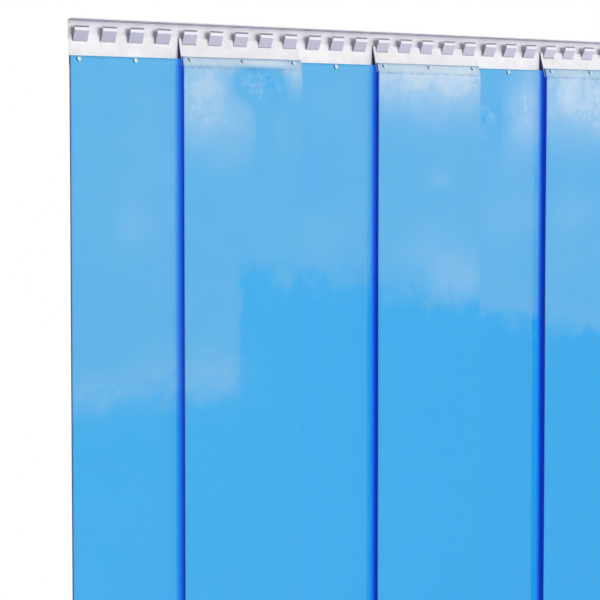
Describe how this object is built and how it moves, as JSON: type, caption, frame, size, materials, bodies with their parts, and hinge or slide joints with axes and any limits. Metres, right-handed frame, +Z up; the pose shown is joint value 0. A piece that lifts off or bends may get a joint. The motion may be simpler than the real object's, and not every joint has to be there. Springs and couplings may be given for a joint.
{
  "type": "pvc door curtain",
  "caption": "Strip curtain for a doorway: wide overlapping blue PVC strips riveted to slotted steel hanger plates, hooked on a steel rail of upturned hooks.",
  "frame": {"origin": "middle of the rail's top face, which is screwed up under the lintel", "axes": "+Z up, -Y towards the front where the hooks open, +X to the right as seen from the front"},
  "size_m": [1.0464, 0.0295, 2],
  "materials": {
    "rail": "bright folded stainless sheet",
    "hanger_plate": "bright stainless sheet",
    "rivet": "polished blind rivet",
    "pvc_strip": "smooth gloss blue soft PVC"
  },
  "bodies": {
    "rail_and_back_hangers": {"hook_rail": "rail", "hanger_plate_1": "hanger_plate", "strip_top_1": "pvc_strip", "rivet_1_1": "rivet", "rivet_1_2": "rivet", "rivet_1_3": "rivet", "hanger_plate_3": "hanger_plate", "strip_top_3": "pvc_strip", "rivet_3_1": "rivet", "rivet_3_2": "rivet", "rivet_3_3": "rivet", "hanger_plate_5": "hanger_plate", "strip_top_5": "pvc_strip", "rivet_5_1": "rivet", "rivet_5_2": "rivet", "rivet_5_3": "rivet"},
    "front_hanger_2": {"hanger_plate_2": "hanger_plate", "strip_top_2": "pvc_strip", "rivet_2_1": "rivet", "rivet_2_2": "rivet", "rivet_2_3": "rivet"},
    "front_hanger_4": {"hanger_plate_4": "hanger_plate", "strip_top_4": "pvc_strip", "rivet_4_1": "rivet", "rivet_4_2": "rivet", "rivet_4_3": "rivet"},
    "front_hanger_6": {"hanger_plate_6": "hanger_plate", "strip_top_6": "pvc_strip", "rivet_6_1": "rivet", "rivet_6_2": "rivet", "rivet_6_3": "rivet"},
    "hanging_strip_1": {"strip_1": "pvc_strip"},
    "hanging_strip_2": {"strip_2": "pvc_strip"},
    "hanging_strip_3": {"strip_3": "pvc_strip"},
    "hanging_strip_4": {"strip_4": "pvc_strip"},
    "hanging_strip_5": {"strip_5": "pvc_strip"},
    "hanging_strip_6": {"strip_6": "pvc_strip"}
  },
  "joints": [
    {"name": "lift_hanger_2", "type": "slide", "parent": "rail_and_back_hangers", "child": "front_hanger_2", "axis": [0, -0.4848, 0.8746], "range_m": [0, 0.012]},
    {"name": "lift_hanger_4", "type": "slide", "parent": "rail_and_back_hangers", "child": "front_hanger_4", "axis": [0, -0.4848, 0.8746], "range_m": [0, 0.012]},
    {"name": "lift_hanger_6", "type": "slide", "parent": "rail_and_back_hangers", "child": "front_hanger_6", "axis": [0, -0.4848, 0.8746], "range_m": [0, 0.012]},
    {"name": "swing_strip_1", "type": "hinge", "parent": "rail_and_back_hangers", "child": "hanging_strip_1", "pos_m": [-0.4225, 0.00815, -0.06816], "axis": [1, 0, 0], "range_deg": [0, 80]},
    {"name": "swing_strip_2", "type": "hinge", "parent": "front_hanger_2", "child": "hanging_strip_2", "pos_m": [-0.2535, -0.00784, -0.06489], "axis": [-1, 0, 0], "range_deg": [0, 80]},
    {"name": "swing_strip_3", "type": "hinge", "parent": "rail_and_back_hangers", "child": "hanging_strip_3", "pos_m": [-0.0845, 0.00815, -0.06816], "axis": [1, 0, 0], "range_deg": [0, 80]},
    {"name": "swing_strip_4", "type": "hinge", "parent": "front_hanger_4", "child": "hanging_strip_4", "pos_m": [0.0845, -0.00784, -0.06489], "axis": [-1, 0, 0], "range_deg": [0, 80]},
    {"name": "swing_strip_5", "type": "hinge", "parent": "rail_and_back_hangers", "child": "hanging_strip_5", "pos_m": [0.2535, 0.00815, -0.06816], "axis": [1, 0, 0], "range_deg": [0, 80]},
    {"name": "swing_strip_6", "type": "hinge", "parent": "front_hanger_6", "child": "hanging_strip_6", "pos_m": [0.4225, -0.00784, -0.06489], "axis": [-1, 0, 0], "range_deg": [0, 80]}
  ]
}
